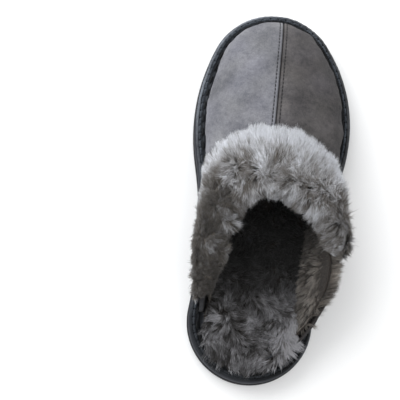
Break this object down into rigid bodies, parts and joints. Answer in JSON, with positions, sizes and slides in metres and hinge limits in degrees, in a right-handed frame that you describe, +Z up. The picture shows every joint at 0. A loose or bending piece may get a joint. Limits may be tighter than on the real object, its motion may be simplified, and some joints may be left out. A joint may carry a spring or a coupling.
{
  "type": "house slipper",
  "caption": "Backless scuff slipper for the right foot: suede vamp with centre seam, folded fleece cuff, fleece footbed, stitched welt and flat sole.",
  "frame": {"origin": "middle of the box round the slipper, on the ground face of the outsole", "axes": "+Y towards the toe, +X towards the little toe, +Z up from the ground"},
  "size_m": [0.1189, 0.27, 0.0832],
  "materials": {
    "sole_rubber": "matt moulded",
    "sole_foam": "matt",
    "welt_suede": "suede",
    "board": "fibre board",
    "foam": "open foam",
    "fleece_footbed": "long pile",
    "suede": "suede nap",
    "tape": "woven",
    "fleece_lining": "pile",
    "fleece_cuff": "long pile",
    "thread_fine": "twisted",
    "thread_thick": "twisted",
    "thread_dark": "twisted"
  },
  "bodies": {
    "root": {"outsole": "sole_rubber", "midsole": "sole_foam", "welt": "welt_suede", "insole_board": "board", "footbed_foam": "foam", "footbed_fleece": "fleece_footbed", "vamp_panel_medial": "suede", "vamp_panel_lateral": "suede", "centre_seam_tape": "tape", "topline_tape": "tape", "lining_medial": "fleece_lining", "lining_lateral": "fleece_lining", "cuff_fleece": "fleece_cuff", "seam_topstitch_medial": "thread_fine", "seam_topstitch_lateral": "thread_fine", "welt_outer_stitches": "thread_thick", "welt_inner_stitches": "thread_dark", "topline_stitches": "thread_fine"}
  },
  "joints": []
}
